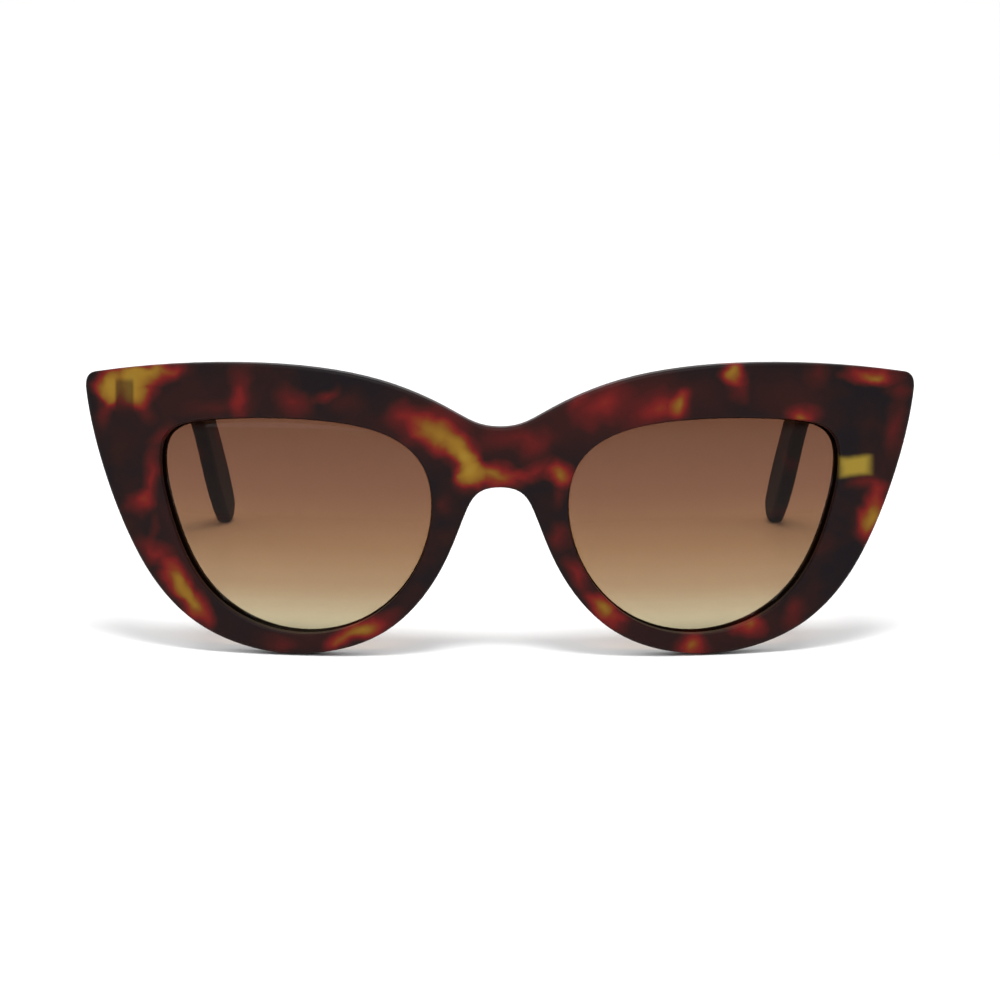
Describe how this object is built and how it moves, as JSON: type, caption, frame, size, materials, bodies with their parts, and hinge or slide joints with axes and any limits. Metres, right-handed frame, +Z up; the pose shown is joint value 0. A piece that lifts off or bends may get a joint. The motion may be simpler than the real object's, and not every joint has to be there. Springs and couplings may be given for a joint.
{
  "type": "cat eye sunglasses",
  "caption": "Sunglasses with an upswept cat eye acetate front, graduated tinted lenses and folding temples, standing open.",
  "frame": {"origin": "on the table, under the middle of the bounding box of the open sunglasses", "axes": "+X to the wearer's left, +Y backwards from the front to the ears, +Z up"},
  "size_m": [0.145, 0.1435, 0.0505],
  "materials": {
    "tortoise_acetate": "matt, mottled tortoiseshell sheet",
    "pad_acetate": "matt, polished at the crown",
    "lens_brown": "brown tint, darker towards the top",
    "hinge_metal": "nickel silver, satin",
    "screw_metal": "stainless steel, turned",
    "core_metal": "nickel silver wire, sealed in the temple"
  },
  "bodies": {
    "front": {"front_frame": "tortoise_acetate", "lens_left": "lens_brown", "lens_right": "lens_brown", "nose_pad_left": "pad_acetate", "nose_pad_right": "pad_acetate", "hinge_front_left": "hinge_metal", "hinge_front_right": "hinge_metal", "hinge_screw_left": "screw_metal", "hinge_screw_right": "screw_metal"},
    "temple_left": {"temple_left": "tortoise_acetate", "temple_core_left": "core_metal", "hinge_temple_left": "hinge_metal"},
    "temple_right": {"temple_right": "tortoise_acetate", "temple_core_right": "core_metal", "hinge_temple_right": "hinge_metal"}
  },
  "joints": [
    {"name": "temple_left_fold", "type": "hinge", "parent": "front", "child": "temple_left", "pos_m": [0.06414, -0.05307, 0.0424], "axis": [0, 0.0785, 0.9969], "range_deg": [0, 86.2]},
    {"name": "temple_right_fold", "type": "hinge", "parent": "front", "child": "temple_right", "pos_m": [-0.06414, -0.05307, 0.0424], "axis": [0, -0.0785, -0.9969], "range_deg": [0, 79]}
  ]
}
